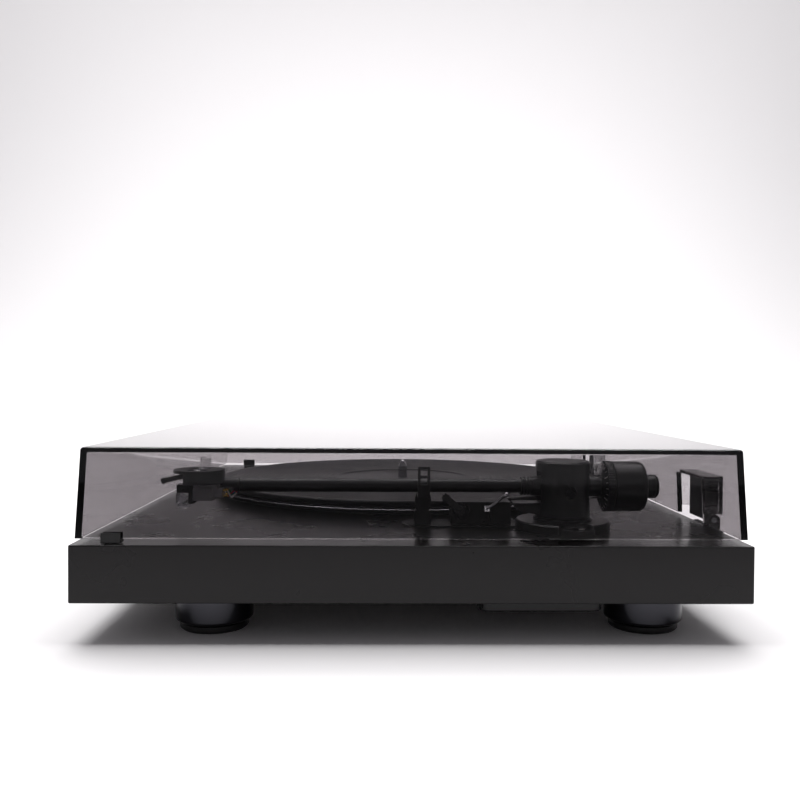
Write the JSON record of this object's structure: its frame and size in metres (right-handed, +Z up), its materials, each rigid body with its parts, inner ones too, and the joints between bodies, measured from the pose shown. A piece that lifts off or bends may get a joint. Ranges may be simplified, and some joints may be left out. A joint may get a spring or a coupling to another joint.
{
  "type": "turntable record player",
  "caption": "Low black belt-drive record player with a straight tonearm, round feet and a hinged smoked dust cover, shown closed.",
  "frame": {"origin": "centre of the object's footprint, on the surface that it stands on", "axes": "+X towards the tonearm side, which is the right for someone facing it; -Y towards the front, +Y towards the hinges; +Z up"},
  "size_m": [0.43, 0.3754, 0.1051],
  "materials": {
    "vinyl_board": "fibreboard wrapped in satin black film",
    "smoked_acrylic": "clear smoked, polished",
    "black_plastic": "moulded, fine satin",
    "anodised_black": "black anodised, satin",
    "weight_metal": "black coated, satin",
    "platter_metal": "black coated, turned rim",
    "foot_silver": "satin silver",
    "steel": "plain",
    "chrome": "bright",
    "brass": "turned",
    "rubber": "matte",
    "circuit_board": "laminate",
    "grey_plastic": "moulded",
    "clear_plastic": "clear moulded",
    "lead_insulation": "coloured insulation"
  },
  "bodies": {
    "chassis": {"plinth": "vinyl_board", "foot_front_left": "foot_silver", "foot_front_right": "foot_silver", "foot_rear_left": "foot_silver", "foot_rear_right": "foot_silver", "foot_pad_front_left": "rubber", "foot_pad_front_right": "rubber", "foot_pad_rear_left": "rubber", "foot_pad_rear_right": "rubber", "electronics_cover": "black_plastic", "control_board": "circuit_board", "rear_panel": "black_plastic", "output_socket_left": "brass", "output_socket_right": "brass", "ground_terminal": "brass", "power_inlet": "black_plastic", "bearing_housing": "brass", "motor_isolator": "rubber", "motor_body": "steel", "drive_belt": "rubber", "arm_mount_plate": "black_plastic", "arm_base": "anodised_black", "arm_base_nut": "steel", "arm_rest": "black_plastic", "cue_lift_body": "black_plastic", "hinge_bracket_left": "black_plastic", "hinge_bracket_right": "black_plastic", "hinge_pin_left": "steel", "hinge_pin_right": "steel"},
    "power_switch": {"power_rocker": "black_plastic"},
    "platter": {"platter": "platter_metal", "platter_mat": "rubber", "sub_platter": "grey_plastic", "spindle": "chrome"},
    "pulley": {"motor_pulley": "brass"},
    "antiskate": {"antiskate_dial": "black_plastic"},
    "arm_carrier": {"arm_housing": "anodised_black", "arm_pivot_screw_left": "steel", "arm_pivot_screw_right": "steel"},
    "arm": {"gimbal_block": "anodised_black", "arm_collar": "black_plastic", "arm_tube": "anodised_black", "headshell": "black_plastic", "finger_lift": "black_plastic", "headshell_screw_left": "steel", "headshell_screw_right": "steel", "cartridge": "grey_plastic", "stylus": "black_plastic", "stylus_guard": "clear_plastic", "cartridge_leads": "lead_insulation"},
    "tracking_ring": {"force_dial": "black_plastic"},
    "weight": {"counterweight": "weight_metal"},
    "cue_lever": {"cue_lever": "black_plastic", "cue_cam": "steel"},
    "cue_lifter": {"cue_lifter": "chrome"},
    "cover": {"dust_cover": "smoked_acrylic", "cover_bumper_left": "rubber", "cover_bumper_right": "rubber", "hinge_leaf_left": "black_plastic", "hinge_leaf_right": "black_plastic"}
  },
  "joints": [
    {"name": "cover_hinge", "type": "hinge", "parent": "chassis", "child": "cover", "pos_m": [0, 0.1837, 0.0577], "axis": [-1, 0, 0], "range_deg": [0, 60]},
    {"name": "power_rock", "type": "hinge", "parent": "chassis", "child": "power_switch", "pos_m": [-0.185, -0.172, 0.0243], "axis": [0, -1, 0], "range_deg": [0, 12]},
    {"name": "platter_spin", "type": "hinge", "parent": "chassis", "child": "platter", "pos_m": [-0.026, -0.005, 0.055], "axis": [0, 0, 1], "continuous": true},
    {"name": "pulley_spin", "type": "hinge", "parent": "chassis", "child": "pulley", "pos_m": [-0.1059, -0.0849, 0.05], "axis": [0, 0, 1], "continuous": true},
    {"name": "antiskate_turn", "type": "hinge", "parent": "chassis", "child": "antiskate", "pos_m": [0.1865, 0.0896, 0.055], "axis": [0, 0, 1], "range_deg": [0, 270]},
    {"name": "arm_swing", "type": "hinge", "parent": "chassis", "child": "arm_carrier", "pos_m": [0.16, 0.0868, 0.07], "axis": [0, 0, -1], "range_deg": [0, 48]},
    {"name": "arm_lift", "type": "hinge", "parent": "arm_carrier", "child": "arm", "pos_m": [0.16, 0.0884, 0.0768], "axis": [-1, 0, 0], "range_deg": [0, 3]},
    {"name": "weight_slide", "type": "slide", "parent": "arm", "child": "tracking_ring", "axis": [0, 1, 0], "range_m": [-0.003, 0.004]},
    {"name": "weight_turn", "type": "hinge", "parent": "tracking_ring", "child": "weight", "pos_m": [0.16, 0.126, 0.0792], "axis": [0, 1, 0], "range_deg": [-720, 960]},
    {"name": "cue_lever_turn", "type": "hinge", "parent": "chassis", "child": "cue_lever", "pos_m": [0.156, 0.0265, 0.0633], "axis": [1, 0, 0], "range_deg": [0, 45]},
    {"name": "cue_lifter_slide", "type": "slide", "parent": "chassis", "child": "cue_lifter", "axis": [0, 0, 1], "range_m": [-0.003, 0]}
  ],
  "couplings": [
    {"joint": "pulley_spin", "follows": "platter_spin", "ratio": 15},
    {"joint": "weight_turn", "follows": "weight_slide", "rad_per_m": 4188.8},
    {"joint": "cue_lever_turn", "follows": "cue_lifter_slide", "rad_per_m": -261.8}
  ]
}
